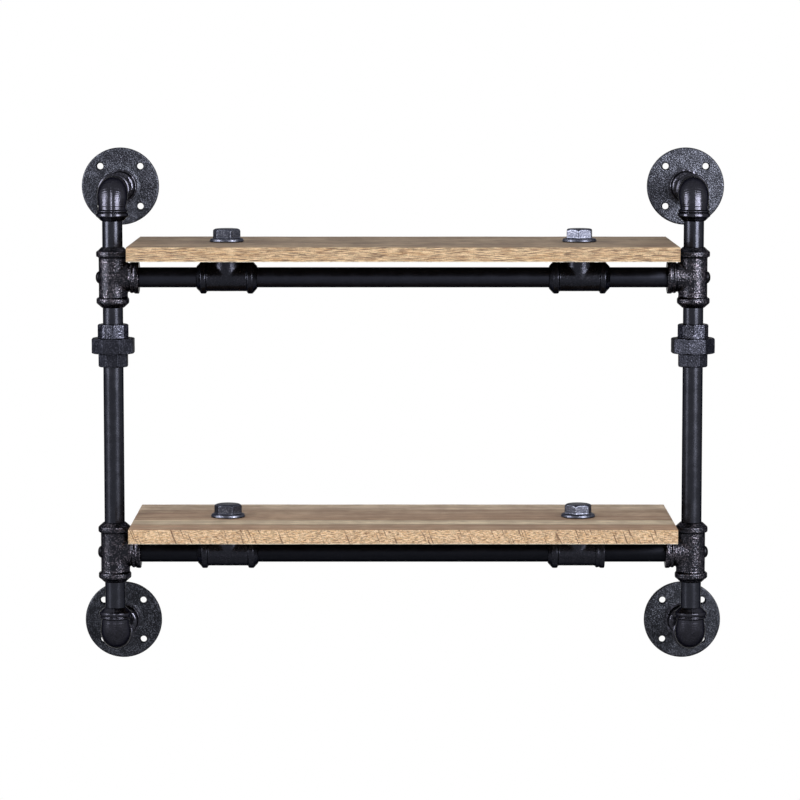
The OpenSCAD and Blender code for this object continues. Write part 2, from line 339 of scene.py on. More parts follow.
def bore_of_end(collar, start=-2 * mm):
    """What is cut out of one end: the way through, the thread and the collar."""
    piece = bar(bore_r, start, thread_start)
    draw_out(thread_start, socket_r)
    draw_out(flat_reach, socket_r)
    if collar:
        draw_out(flat_reach, collar_bore_r)
    draw_out(collar_reach + 1 * mm, collar_bore_r if collar else socket_r)
    return finish_edit(piece)


def axis_distance(point, axis):
    return math.hypot(*[point[i] for i in range(3) if i != axis])


def tee(outer_collar=True):
    """Tee with its run along z and its flat branch along +x."""
    top, low, branch = end_of_fitting(outer_collar, False), end_of_fitting(True), end_of_fitting(False)
    turn(low, 180, "X")
    turn(branch, 90, "Y")
    saddle = finish_edit(bar(6 * mm, -22 * mm, 22 * mm))
    piece = weld(top, low, branch, shift(saddle, x=body_r - 4.7 * mm))

    def fillet(point):
        off_run, off_branch = axis_distance(point, 2) - body_r, axis_distance(point, 0) - body_r
        return 1.5 - max(abs(off_run), abs(off_branch)) / (3.4 * mm) if point.x > 0 else 0

    cast(piece, 0.6 * mm, fillet, 70, 3)
    near(piece, "skin", lambda point: 1)
    low_bore, branch_bore = bore_of_end(True), bore_of_end(False)
    turn(low_bore, 180, "X")
    turn(branch_bore, 90, "Y")
    cut(piece, bore_of_end(outer_collar), low_bore, branch_bore)
    return piece


def knee(radius):
    """Quarter turn of a round bar, from a disc spun about the inside of the bend."""
    clear_selection()
    bpy.ops.mesh.primitive_circle_add(vertices=96, radius=radius, fill_type="NGON", location=(0, 0, bend_r))
    piece = bpy.context.object
    bpy.ops.object.transform_apply(location=True, rotation=True, scale=True)
    pick_faces(piece, lambda place, normal: True)
    bpy.ops.mesh.spin(steps=24, angle=math.radians(-90), center=(0, bend_r, bend_r), axis=(1, 0, 0))
    return finish_edit(piece)


def elbow():
    """Elbow with one leg along +y, to the wall, and one along +z."""
    def leg():
        piece = bar(body_r, bend_r - 0.5 * mm, 19.8 * mm)
        draw_out(20.2 * mm, band_r - 1.4 * mm)
        draw_out(20.9 * mm, band_r - 0.4 * mm)
        draw_out(21.9 * mm, band_r - 0.4 * mm)
        draw_out(22.5 * mm, band_r - 1.7 * mm)
        draw_out(23.2 * mm, band_r - 1.7 * mm)
        draw_out(23.8 * mm, band_r - 0.2 * mm)
        draw_out(26.8 * mm, band_r)
        draw_out(27.2 * mm, band_r - 0.5 * mm)
        draw_out(28.6 * mm, band_r - 2.4 * mm)
        draw_out(30.4 * mm, band_r - 4.1 * mm)
        draw_out(collar_reach, lip_r)
        return finish_edit(piece)

    upright, level = leg(), leg()
    turn(level, -90, "X")
    piece = weld(knee(body_r), upright, level)
    cast(piece, 0.5 * mm, soften=3)

    def belly(point):
        along, down = bend_r - point.y, bend_r - point.z
        return math.sin(2 * math.atan2(down, along)) ** 1.5 if along > 0 and down > 0 else 0

    near(piece, "belly", belly)
    apply_modifier(piece, "DISPLACE", strength=1.6 * mm, mid_level=0, vertex_group="belly")

    def seam(point):
        outside = math.hypot(min(point.y - bend_r, 0), min(point.z - bend_r, 0)) > bend_r
        return 1.4 - abs(point.x) / (0.6 * mm) if outside else 0

    near(piece, "seam", seam)
    apply_modifier(piece, "DISPLACE", strength=0.45 * mm, mid_level=0, vertex_group="seam")
    near(piece, "skin", lambda point: 1)
    upright, level = bore_of_end(True, bend_r - 2 * mm), bore_of_end(True, bend_r - 2 * mm)
    turn(level, -90, "X")
    return cut(piece, knee(bore_r), upright, level)


def wall_flange():
    """Round plate against the wall with a threaded hub, drawn along +z and turned to the front."""
    piece = bar(flange_r, 0, flange_t - 1.3 * mm, 160)
    draw_out(flange_t - 0.5 * mm, flange_r - 0.3 * mm)
    draw_out(flange_t, flange_r - 1.2 * mm)
    draw_out(flange_t, hub_r + 4.8 * mm)
    draw_out(flange_t + 0.6 * mm, hub_r + 3.8 * mm)
    draw_out(flange_t + 1.0 * mm, hub_r + 2.4 * mm)
    draw_out(flange_t + 1.0 * mm, hub_r + 1.4 * mm)
    draw_out(flange_t + 0.6 * mm, hub_r + 0.6 * mm)
    draw_out(flange_t + 1.4 * mm, hub_r)
    draw_out(hub_h - 3.0 * mm, hub_r)
    draw_out(hub_h - 1.3 * mm, hub_r - 0.7 * mm)
    draw_out(hub_h - 0.4 * mm, hub_r - 1.8 * mm)
    draw_out(hub_h, hub_r - 3.0 * mm)
    finish_edit(piece)
    cast(piece, 0.7 * mm, soften=3)
    near(piece, "skin", lambda point: 1 if point.z > 1 * mm else 0)
    for number in range(4):
        hole = bar(flange_hole_r, -1 * mm, flange_t - 1.8 * mm, 48)
        draw_out(flange_t, 4.5 * mm)
        draw_out(flange_t + 1 * mm, 4.6 * mm)
        finish_edit(hole)
        shift(hole, x=flange_hole_circle_r)
        cut(piece, turn(hole, 45 + 90 * number, "Z"))
    cut(piece, finish_edit(bar(socket_r, -1 * mm, 25 * mm)))
    return turn(piece, 90, "X")


def eight_sided(flat, low, high, top=1.2 * mm, bottom=1.2 * mm):
    """Eight-sided bar with a corner to the front, its corners turned down at top and bottom."""
    corner = flat / math.cos(math.pi / 8)
    piece = finish_edit(bar(corner, low, high, 8))
    lathe = bar(flat - 0.2 * mm if bottom else corner + 1 * mm, low - 0.01 * mm, low)
    if bottom:
        draw_out(low + bottom, corner + 0.2 * mm)
    draw_out(high - top, corner + 0.2 * mm)
    if top:
        draw_out(high + 0.01 * mm, flat - 0.2 * mm)
    apply_modifier(piece, "BOOLEAN", operation="INTERSECT", solver="EXACT", object=finish_edit(lathe))
    bpy.data.objects.remove(lathe)
    return piece


def union_head():
    """Top third of a union: eight-sided, with a spigot in the nut, its own seat and the post's thread."""
    top = nut_h / 2 + head_h
    piece = weld(eight_sided(union_flat, nut_h / 2 - 1 * mm, top, bottom=0),
                 finish_edit(bar(spigot_r, 0.05 * mm, nut_h / 2 - 0.1 * mm)))
    cast(piece, 0.45 * mm, soften=2)
    near(piece, "skin", lambda point: 1 if point.z > nut_h / 2 + 0.6 * mm else 0)
    seat = bar(14.1 * mm, -1 * mm, -0.05 * mm)
    draw_out(2.5 * mm, seat_top_r)
    return cut(piece, finish_edit(bar(bore_r, -1 * mm, top + 1 * mm)), finish_edit(seat),
               finish_edit(bar(socket_r, top - union_thread, top + 1 * mm)))


def union_nut():
    """Eight-sided nut round head and tail."""
    piece = eight_sided(nut_flat, -nut_h / 2, nut_h / 2, 0.9 * mm, 0.9 * mm)
    cast(piece, 0.5 * mm, soften=2)
    near(piece, "skin", lambda point: 1)
    return cut(piece, finish_edit(bar(neck_hole_r, -nut_h, nut_h)),
               finish_edit(bar(nut_thread_r, nut_lip - nut_h / 2, nut_h)))


def union_tail():
    """Bottom third of a union: eight-sided, with a neck and a flange inside the nut."""
    low = -nut_h / 2 - tail_h
    neck = bar(neck_r, -nut_h / 2 - 2 * mm, tail_flange_low)
    draw_out(tail_flange_low, tail_flange_r)
    draw_out(tail_face, tail_flange_r)
    draw_out(tail_face, 14 * mm)
    draw_out(2.35 * mm, seat_top_r)
    piece = weld(eight_sided(union_flat, low, -nut_h / 2 - 0.1 * mm, top=0, bottom=2 * mm),
                 finish_edit(neck))
    cast(piece, 0.45 * mm, soften=2)
    near(piece, "skin", lambda point: 1 if point.z < -nut_h / 2 - 0.6 * mm else 0)
    return cut(piece, finish_edit(bar(bore_r, low - 1 * mm, 5 * mm)),
               finish_edit(bar(socket_r, low - 1 * mm, low + union_thread)))


def shelf_bolt():
    """Flanged six-sided bolt from the top of the board into the deck tee."""
    seat, crown = bolt_seat + 3.5 * mm, bolt_seat + 13.9 * mm
    corner = bolt_flat / math.cos(math.pi / 6)
    head = finish_edit(bar(corner, bolt_seat + 1 * mm, crown, 6))
    lathe = bar(corner + 1 * mm, bolt_seat, seat)
    draw_out(crown - 2.6 * mm, corner + 0.1 * mm)
    draw_out(crown - 0.9 * mm, corner - 1.6 * mm)
    draw_out(crown - 0.2 * mm, corner - 3.4 * mm)
    draw_out(crown, corner - 5.6 * mm)
    apply_modifier(head, "BOOLEAN", operation="INTERSECT", solver="EXACT", object=finish_edit(lathe))
    bpy.data.objects.remove(lathe)
    collar = bar(bolt_flange_r - 0.3 * mm, bolt_seat, bolt_seat + 0.3 * mm)
    draw_out(bolt_seat + 0.7 * mm, bolt_flange_r)
    draw_out(bolt_seat + 1.2 * mm, bolt_flange_r)
    draw_out(seat - 0.4 * mm, bolt_flange_r - 0.8 * mm)
    draw_out(seat, bolt_flange_r - 1.4 * mm)
    draw_out(seat + 0.3 * mm, corner - 0.6 * mm)
    piece = weld(head, finish_edit(collar), finish_edit(bar(bolt_shank_r, bolt_end, bolt_seat + 1 * mm)))
    return cast(piece, 0.45 * mm, soften=2)


def rail_screw():
    """Button-headed screw along -x, from outside the frame tee into the end of the rail."""
    head = bar(screw_head_r, screw_seat, screw_seat + 1.6 * mm, 64)
    draw_out(screw_seat + 2.3 * mm, screw_head_r - 0.3 * mm)
    draw_out(screw_seat + 3.2 * mm, screw_head_r - 1.1 * mm)
    draw_out(screw_seat + 4.0 * mm, screw_head_r - 2.5 * mm)
    draw_out(screw_seat + 4.5 * mm, screw_head_r - 4.0 * mm)
    draw_out(screw_seat + 4.6 * mm, 1 * mm)
    shank = bar(screw_r, -27.0 * mm, screw_seat + 1 * mm, 48)
    piece = weld(finish_edit(head), finish_edit(shank))
    apply_modifier(piece, "BEVEL", width=0.15 * mm, segments=2, limit_method="ANGLE",
                   angle_limit=math.radians(50))
    cut(piece, finish_edit(bar(screw_key_r, screw_seat + 2.2 * mm, screw_seat + 8 * mm, 6)))
    return turn(piece, -90, "Y")


# ---- Boards ----

def board(level):
    """Old board: worn edges, raised grain, and a pocket and a hole over each deck tee."""
    low, high = (Vector(corner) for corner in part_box("board_" + level))
    clear_selection()
    bpy.ops.mesh.primitive_cube_add(size=1, location=(low + high) / 2)
    piece = bpy.context.object
    piece.scale = high - low
    bpy.ops.object.transform_apply(location=True, rotation=True, scale=True)
    bpy.ops.object.mode_set(mode="EDIT")
    bpy.ops.mesh.select_mode(type="EDGE")
    bpy.ops.mesh.select_all(action="SELECT")
    bpy.ops.mesh.bevel(offset=0.7 * mm, segments=2)
    # Along each axis the edges are cut into these many parts, once for each number
    for axis, parts in ((0, (12, 12)), (1, (12, 13)), (2, (16,))):
        for count in parts:
            mesh = bmesh.from_edit_mesh(piece.data)
            bpy.ops.mesh.select_all(action="DESELECT")
            for edge in mesh.edges:
                run = edge.verts[1].co - edge.verts[0].co
                if abs(run[axis]) > 0.99 * run.length and run.length > 1.5 * mm:
                    edge.select_set(True)
            bmesh.update_edit_mesh(piece.data)
            bpy.ops.mesh.subdivide(number_cuts=count - 1)
    finish_edit(piece)
    press_grain(piece)
    cut_for_tees(piece, low, high)
    return piece


def press_grain(piece):
    """Presses wood grain that runs along x, and a few worn dips, into a board."""
    for name, feature, stretch, depth in (("dips", 24 * mm, 3, 0.25 * mm),
                                          ("grain", 1.6 * mm, 26, 0.25 * mm)):
        texture = bpy.data.textures.new(name, "CLOUDS")
        texture.noise_scale = feature
        texture.noise_depth = 2
        clear_selection()
        bpy.ops.object.empty_add(location=(0, 0, 0))
        guide = bpy.context.object
        guide.scale.x = stretch
        bpy.context.view_layer.update()
        apply_modifier(piece, "DISPLACE", texture=texture, texture_coords="OBJECT",
                       texture_coords_object=guide, strength=depth, mid_level=1)
        bpy.data.objects.remove(guide)
        bpy.data.textures.remove(texture)
    return piece


def cut_for_tees(piece, low, high):
    """Cuts the pocket for each deck tee and the hole for its bolt."""
    for x in (-deck_x, deck_x):
        for radius, top in ((pocket_r, low.z + pocket_depth), (bolt_hole_r, high.z + 5 * mm)):
            tool = finish_edit(bar(radius, low.z - 5 * mm, top))
            shift(tool, x, (low.y + high.y) / 2)
            cut(piece, tool)
    return piece


# ---- Finishes ----

def effect(name, inputs, outputs):
    """Starts a node group with named sockets."""
    tree = bpy.data.node_groups.new(name, "ShaderNodeTree")
    for label, kind, value in inputs:
        socket = tree.interface.new_socket(name=label, in_out="INPUT", socket_type="NodeSocket" + kind)
        if value is not None:
            socket.default_value = value
    for label, kind in outputs:
        tree.interface.new_socket(name=label, in_out="OUTPUT", socket_type="NodeSocket" + kind)
    return tree, tree.nodes.new("NodeGroupInput"), tree.nodes.new("NodeGroupOutput")


def put(tree, kind, inputs=None, **settings):
    """Adds a node. Each input is a plain value, or a socket to link from."""
    node = tree.nodes.new("ShaderNode" + kind)
    for key, value in settings.items():
        setattr(node, key, value)
    for key, value in (inputs or {}).items():
        if isinstance(value, bpy.types.NodeSocket):
            tree.links.new(value, node.inputs[key])
        else:
            node.inputs[key].default_value = value
    return node


def maths(tree, operation, first, second=0.0, third=0.0, clamp=False):
    return put(tree, "Math", {0: first, 1: second, 2: third}, operation=operation, use_clamp=clamp).outputs[0]


def ramp(tree, value, low, high, to_low=0.0, to_high=1.0):
    """A smooth step of a value from low to high."""
    return put(tree, "MapRange", {"Value": value, "From Min": low, "From Max": high, "To Min": to_low,
                                  "To Max": to_high}, interpolation_type="SMOOTHSTEP").outputs["Result"]


def blend(tree, share, first, second):
    """Mixes two colours, which are inputs 6 and 7 of the node."""
    node = put(tree, "Mix", {"Factor": share}, data_type="RGBA", blend_type="MIX")
    for index, value in ((6, first), (7, second)):
        if isinstance(value, bpy.types.NodeSocket):
            tree.links.new(value, node.inputs[index])
        else:
            node.inputs[index].default_value = (*value, 1)
    return node.outputs[2]


def cast_grain():
    """Sandy grain over soft lumps: how high the skin stands, and where it is worn bright."""
    tree, given, made = effect("Cast grain", (
        ("Place", "Vector", None), ("Grain", "Float", 1.0), ("Lumps", "Float", 3.0),
        ("Lumpiness", "Float", 0.5)),
        (("Height", "Float"), ("Bright", "Float")))
    place = given.outputs["Place"]
    per_grain = maths(tree, "DIVIDE", 1.0, given.outputs["Grain"])
    per_lump = maths(tree, "DIVIDE", 1.0, given.outputs["Lumps"])
    fine = put(tree, "TexNoise", {"Vector": place, "Scale": per_grain,
                                  "Detail": 1.0, "Roughness": 0.5}).outputs["Fac"]
    lumps = put(tree, "TexVoronoi", {"Vector": place, "Scale": per_lump,
                                     "Smoothness": 0.7}, feature="SMOOTH_F1").outputs["Distance"]
    height = put(tree, "Mix", {"Factor": given.outputs["Lumpiness"], 2: fine,
                               3: maths(tree, "SUBTRACT", 1.0, lumps)}).outputs[0]
    patches = put(tree, "TexNoise", {"Vector": place, "Scale": 0.12, "Detail": 2.0}).outputs["Fac"]
    specks = ramp(tree, maths(tree, "MULTIPLY_ADD", patches, 0.3, fine), 0.66, 0.82)
    tree.links.new(height, made.inputs["Height"])
    tree.links.new(specks, made.inputs["Bright"])
    return tree


def long_grain():
    """Wood grain along x: soft figure, streaks, open pores and how high the grain stands."""
    tree, given, made = effect("Long grain", (
        ("Place", "Vector", None), ("Figure Length", "Float", 60.0), ("Figure Width", "Float", 20.0),
        ("Ripple Length", "Float", 28.0), ("Ripple Width", "Float", 60.0),
        ("Streak Length", "Float", 60.0), ("Streak Width", "Float", 3.0), ("Pore Length", "Float", 12.0),
        ("Pore Width", "Float", 1.8), ("Pore Share", "Float", 0.44), ("Waviness", "Float", 0.2)),
        (("Figure", "Float"), ("Ripple", "Float"), ("Streaks", "Float"), ("Pores", "Float"),
         ("Fuzz", "Float"), ("Height", "Float")))

    def stretched(length, width, detail):
        across = maths(tree, "DIVIDE", 1.0, given.outputs[width])
        scale = put(tree, "CombineXYZ", {"X": maths(tree, "DIVIDE", 1.0, given.outputs[length]),
                                         "Y": across, "Z": across}).outputs[0]
        place = put(tree, "VectorMath", {0: given.outputs["Place"], 1: scale},
                    operation="MULTIPLY").outputs[0]
        return put(tree, "TexNoise", {"Vector": place, "Scale": 1.0, "Detail": detail, "Roughness": 0.55,
                                      "Distortion": given.outputs["Waviness"]}).outputs["Fac"]

    figure = stretched("Figure Length", "Figure Width", 2.0)
    ripple = stretched("Ripple Length", "Ripple Width", 2.0)
    streaks = stretched("Streak Length", "Streak Width", 2.0)
    pores = stretched("Pore Length", "Pore Width", 0.5)
    open_pores = maths(tree, "SUBTRACT", given.outputs["Pore Share"], pores)
    pores = maths(tree, "MULTIPLY", open_pores, 12.0, clamp=True)
    fuzz = put(tree, "TexNoise", {"Vector": given.outputs["Place"], "Scale": 0.8,
                                  "Detail": 1.0}).outputs["Fac"]
    tree.links.new(ramp(tree, fuzz, 0.5, 0.66), made.inputs["Fuzz"])
    tree.links.new(ramp(tree, figure, 0.35, 0.65), made.inputs["Figure"])
    tree.links.new(ramp(tree, ripple, 0.3, 0.7), made.inputs["Ripple"])
    tree.links.new(ramp(tree, streaks, 0.34, 0.66), made.inputs["Streaks"])
    tree.links.new(pores, made.inputs["Pores"])
    height = maths(tree, "SUBTRACT", streaks, maths(tree, "MULTIPLY", pores, 0.5))
    tree.links.new(height, made.inputs["Height"])
    return tree


CAST_GRAIN = cast_grain()
LONG_GRAIN = long_grain()


def finish(name):
    """Starts a material and gives its tree, shader and place on the piece in millimetres."""
    material = bpy.data.materials.new(name)
    material.use_nodes = True
    tree = material.node_tree
    shader = tree.nodes["Principled BSDF"]
    spot = put(tree, "TexCoord").outputs["Object"]
    place = put(tree, "Mapping", {"Vector": spot, "Scale": (1000, 1000, 1000)}).outputs[0]
    return material, tree, shader, place


def use_effect(tree, group, **inputs):
    node = put(tree, "Group", node_tree=group)
    for key, value in inputs.items():
        socket = node.inputs[key.replace("_", " ")]
        if isinstance(value, bpy.types.NodeSocket):
            tree.links.new(value, socket)
        else:
            socket.default_value = value
    return node


def iron(name, dark, bright, roughness, grain, lumps, lumpiness, relief, edge=0.35):
    """Black iron, as cast or as drawn. Grain, lumps and relief are in millimetres."""
    material, tree, shader, place = finish(name)
    skin = use_effect(tree, CAST_GRAIN, Place=place, Grain=grain, Lumps=lumps, Lumpiness=lumpiness)
    tree.links.new(blend(tree, skin.outputs["Bright"], dark, bright), shader.inputs["Base Color"])
    cloud = put(tree, "TexNoise", {"Vector": place, "Scale": 0.09, "Detail": 3.0}).outputs["Fac"]
    worn = ramp(tree, cloud, 0.3, 0.7, roughness - 0.05, roughness + 0.06)
    tree.links.new(worn, shader.inputs["Roughness"])
    shader.inputs["Metallic"].default_value = 1
    shader.inputs["Specular Tint"].default_value = (edge, edge, edge, 1)
    bump = put(tree, "Bump", {"Height": skin.outputs["Height"], "Strength": 1.0, "Distance": relief * mm})
    tree.links.new(bump.outputs[0], shader.inputs["Normal"])
    return material


def board_face(name, strips, figure, streak, pore, relief, fuzz=0.0, lean=0, cracks=0.0, ripple=0.0, **grain):
    """One face of an old board. Its strips run from the front to the back of the board, each a share of
    the depth and a colour; figure, streak and pore are each a colour and how strongly it shows. Fuzz is
    torn grain, cracks is how strongly the saw marks show and lean how many degrees they are turned,
    and ripple is how strongly the grain darkens in soft waves across the board."""
    material, tree, shader, place = finish(name)
    depth = put(tree, "SeparateXYZ", {"Vector": place}).outputs["Y"]
    share = put(tree, "MapRange", {"Value": depth, "From Min": board_front / mm,
                                   "From Max": board_back / mm}).outputs["Result"]
    joined = put(tree, "ValToRGB", {"Fac": share})
    stops = joined.color_ramp.elements
    while len(stops) < len(strips):
        stops.new(1.0)
    for stop, (where, shade_there) in zip(stops, strips):
        stop.position, stop.color = where, (*shade_there, 1)
    skin = use_effect(tree, LONG_GRAIN, Place=place, **grain)
    colour = joined.outputs["Color"]
    for output, (shade_there, strength) in (("Figure", figure), ("Streaks", streak), ("Pores", pore)):
        colour = blend(tree, maths(tree, "MULTIPLY", skin.outputs[output], strength), colour, shade_there)
    colour = blend(tree, maths(tree, "MULTIPLY", skin.outputs["Fuzz"], fuzz), colour, pore[0])
    colour = blend(tree, maths(tree, "MULTIPLY", skin.outputs["Ripple"], ripple), colour, figure[0])
    if cracks:
        leaning = put(tree, "Mapping", {"Vector": place, "Rotation": (0, math.radians(lean), 0)}).outputs[0]
        lines = use_effect(tree, LONG_GRAIN, Place=leaning, Pore_Length=26.0, Pore_Width=1.7, Pore_Share=0.35)
        colour = blend(tree, maths(tree, "MULTIPLY", lines.outputs["Pores"], cracks), colour, pore[0])
    tree.links.new(colour, shader.inputs["Base Color"])
    shader.inputs["Roughness"].default_value = 0.75
    shader.inputs["Specular IOR Level"].default_value = 0.2
    bump = put(tree, "Bump", {"Height": skin.outputs["Height"], "Strength": 1.0, "Distance": relief * mm})
    tree.links.new(bump.outputs[0], shader.inputs["Normal"])
    return material


def shadeof(red, green, blue):
    """A colour as it looks on screen, as the shader wants it."""
    return tuple(c / 12.92 if c <= 0.04045 else ((c + 0.055) / 1.055) ** 2.4
                 for c in (red / 255, green / 255, blue / 255))


flange_iron = iron("flange_iron", shadeof(33, 34, 39), shadeof(78, 80, 90), 0.43, 0.95, 4, 0.0, 0.46)
# Painted shade: a darker copy of the flange iron for the lower flanges, standing in for the shade they sit in
# below the boards.
shaded_lower_flange_iron = iron("shaded_lower_flange_iron", shadeof(28, 29, 33), shadeof(68, 70, 78),
                         0.42, 0.95, 4, 0.0, 0.46)
elbow_iron = iron("elbow_iron", shadeof(42, 42, 48), shadeof(50, 50, 58), 0.25, 1.6, 5, 0.2, 0.08)
hub_iron = iron("hub_iron", shadeof(44, 44, 50), shadeof(70, 70, 80), 0.22, 2.4, 4, 0.2, 0.4)
tee_iron = iron("tee_iron", shadeof(32, 33, 38), shadeof(80, 76, 83), 0.22, 1.4, 4, 0.1, 0.56)
# Partly painted shade: the deck tees under the boards get a copy of the tee iron with much duller specks, for
# the shade there; it is also smoother.
shaded_deck_iron = iron("shaded_deck_iron", shadeof(34, 35, 41), shadeof(43, 43, 50), 0.26, 1.5, 3.5, 0.3, 0.17)
union_iron = iron("union_iron", shadeof(35, 36, 43), shadeof(76, 77, 88), 0.35, 1.4, 2.2, 0.4, 0.55)
nut_iron = iron("nut_iron", shadeof(30, 31, 37), shadeof(53, 54, 63), 0.4, 1.3, 2.2, 0.4, 0.38)
post_black = iron("post_black", shadeof(38, 39, 45), shadeof(47, 48, 55), 0.25, 0.8, 6, 0.2, 0.03)
rail_black = iron("rail_black", shadeof(34, 35, 42), shadeof(40, 41, 49), 0.33, 0.8, 6, 0.2, 0.03)
# Painted shade: a darker copy of the rail black for the lower rails, standing in for the shade under the
# lower board.
shaded_lower_rail_black = iron("shaded_lower_rail_black", shadeof(20, 21, 26), shadeof(25, 26, 31), 0.33, 0.8, 6, 0.2, 0.03)
gunmetal = iron("gunmetal", shadeof(58, 60, 70), shadeof(98, 100, 111), 0.36, 1.1, 4, 0.2, 0.16)
screw_black = iron("screw_black", shadeof(20, 20, 23), shadeof(30, 30, 34), 0.35, 0.5, 3, 0.2, 0.03)
plated = iron("plated_steel", shadeof(150, 150, 155), shadeof(190, 190, 195), 0.3, 0.5, 3, 0.2, 0.02)
upper_top = board_face("upper_board_top", (
    (0.0, shadeof(156, 133, 108)), (0.2, shadeof(152, 128, 105)), (0.3, shadeof(137, 114, 93)),
    (0.6, shadeof(142, 121, 100)), (0.7, shadeof(157, 136, 114)), (1.0, shadeof(152, 130, 107))),
    (shadeof(92, 71, 55), 0.62), (shadeof(206, 184, 154), 0.45), (shadeof(66, 48, 36), 0.6), 0.12, ripple=0.5,
    Figure_Length=150.0, Figure_Width=19.0, Streak_Length=150.0, Streak_Width=2.6,
    Ripple_Length=34.0, Ripple_Width=70.0, Pore_Length=14.0, Pore_Width=0.9, Pore_Share=0.44)
lower_top = board_face("lower_board_top", (
    (0.0, shadeof(188, 147, 116)), (0.18, shadeof(182, 144, 116)), (0.2, shadeof(150, 122, 97)),
    (0.23, shadeof(252, 236, 206)), (0.35, shadeof(244, 227, 196)), (0.38, shadeof(180, 146, 119)),
    (0.6, shadeof(176, 143, 118)), (0.77, shadeof(174, 147, 123)), (0.8, shadeof(214, 192, 168)),
    (1.0, shadeof(218, 198, 176))),
    (shadeof(118, 88, 70), 0.42), (shadeof(228, 208, 178), 0.45), (shadeof(88, 63, 49), 0.45), 0.12,
    ripple=0.34,
    Figure_Length=140.0, Figure_Width=17.0, Streak_Length=160.0, Streak_Width=2.6,
    Ripple_Length=30.0, Ripple_Width=60.0, Pore_Length=14.0, Pore_Width=0.9, Pore_Share=0.44)
upper_edge = board_face("upper_board_edge", ((0.0, shadeof(194, 155, 114)),),
    (shadeof(164, 138, 120), 0.4), (shadeof(240, 212, 172), 0.85), (shadeof(74, 52, 44), 0.78), 0.3,
    fuzz=0.3,
    Figure_Length=60.0, Figure_Width=6.0, Streak_Length=12.0, Streak_Width=0.75,
    Pore_Length=11.0, Pore_Width=0.42, Pore_Share=0.46, Waviness=0.03)
lower_edge = board_face("lower_board_edge", ((0.0, shadeof(212, 172, 128)),),
    (shadeof(194, 152, 118), 0.45), (shadeof(250, 224, 188), 0.8), (shadeof(92, 60, 44), 0.7), 0.3,
    fuzz=0.35, lean=-68, cracks=0.75,
    Figure_Length=60.0, Figure_Width=8.0, Streak_Length=5.0, Streak_Width=0.7,
    Pore_Length=4.0, Pore_Width=0.45, Pore_Share=0.46, Waviness=0.04)
# The downward-facing front bevels of each board are given a near-white colour.
pale_arris = board_face("pale_lower_arris", ((0.0, shadeof(252, 244, 222)),),
    (shadeof(240, 222, 190), 0.3), (shadeof(253, 246, 228), 0.5), (shadeof(150, 116, 88), 0.5), 0.1,
    Streak_Length=8.0, Pore_Length=4.0)


# ---- The shelf ----

def dress(piece, material):
    piece.data.materials.clear()
    piece.data.materials.append(material)
    return piece


def finish_part(piece, material, wanted):
    """Gives a part of a piece its own finish."""
    piece.data.materials.append(material)
    pick_faces(piece, wanted)
    piece.active_material_index = len(piece.data.materials) - 1
    bpy.ops.object.material_slot_assign()
    clear_selection()


def set_corners(model, part, material, spot, feature=0, depth=0,
                lower_mirrored=False, degrees=None, skip=()):
    """Sets a left-hand model in its four places and gives each its own uneven skin."""
    for level, up in LEVELS:
        for side, hand in SIDES:
            node = f"{part}_{level}_{side}"
            if node in skip:
                continue
            mirrored = "x" if hand > 0 and degrees is None else ""
            if lower_mirrored and up < 0:
                mirrored += "z"
            place = Vector((hand * spot.x, spot.y, up * spot.z))
            piece = set_in_place(model, node, place, mirrored, degrees[level, side] if degrees else 0)
            if depth:
                roughen(piece, feature, depth)
            dress(shade(piece), material)
    bpy.data.objects.remove(model)


at_flange = Vector((post_x, 0, elbow_z))
at_elbow = Vector((post_x, pipe_y, elbow_z))
at_frame_tee = Vector((post_x, pipe_y, rail_z))
at_deck_tee = Vector((deck_x, pipe_y, rail_z))

set_corners(wall_flange(), "wall_flange", flange_iron, at_flange, 1.4 * mm, 0.08 * mm)
for level, up in LEVELS:
    for side, hand in SIDES:
        piece = bpy.data.objects[f"wall_flange_{level}_{side}_dressed"]
        # The lower flanges take the darker copy of the flange iron, which is painted shade.
        if up < 0:
            piece.data.materials[0] = shaded_lower_flange_iron
        finish_part(piece, hub_iron, lambda place, normal: math.hypot(
            place.x - hand * post_x, place.z - up * elbow_z) < hub_finish_r and place.y < -flange_t)

set_corners(turn(elbow(), 180, "Y"), "elbow", elbow_iron, at_elbow, 3 * mm, 0.12 * mm, True)

frame_tee = tee()
seat = bar(screw_hole_r, body_r - 8 * mm, screw_seat)
draw_out(screw_seat, screw_head_r + 0.25 * mm)
draw_out(screw_seat + 5 * mm, screw_head_r + 0.25 * mm)
cut(frame_tee, turn(finish_edit(seat), -90, "Y"))
set_corners(frame_tee, "frame_tee", tee_iron, at_frame_tee, 1.6 * mm, 0.12 * mm, True)

# The deck tees take the tee iron with duller specks, partly painted shade.
set_corners(turn(tee(), -90, "Y"), "deck_tee", shaded_deck_iron, at_deck_tee, 3 * mm, 0.15 * mm,
            skip=["deck_tee_lower_right"])
open_tee = turn(tee(outer_collar=False), -90, "Y")
piece = set_in_place(open_tee, "deck_tee_lower_right", Vector((deck_x, pipe_y, -rail_z)), "x")
dress(shade(roughen(piece, 3 * mm, 0.15 * mm)), shaded_deck_iron)
bpy.data.objects.remove(open_tee)

set_corners(shelf_bolt(), "shelf_bolt", gunmetal, at_deck_tee, degrees={
    ("upper", "left"): 18, ("upper", "right"): -6, ("lower", "left"): 20, ("lower", "right"): -14})
set_corners(rail_screw(), "rail_screw", screw_black, at_frame_tee)

for part, model, material, turns in (("union_head", union_head(), union_iron, (5, 0)),
                                     ("union_nut", union_nut(), nut_iron, (20, -16)),
                                     ("union_tail", union_tail(), nut_iron, (21, -23))):
    for side, hand, degrees in (("left", -1, turns[0]), ("right", 1, turns[1])):
        piece = set_in_place(model, f"{part}_{side}", Vector((hand * post_x, pipe_y, nut_z)), "", degrees)
        dress(shade(roughen(piece, 1.8 * mm, 0.2 * mm)), material)
    bpy.data.objects.remove(model)

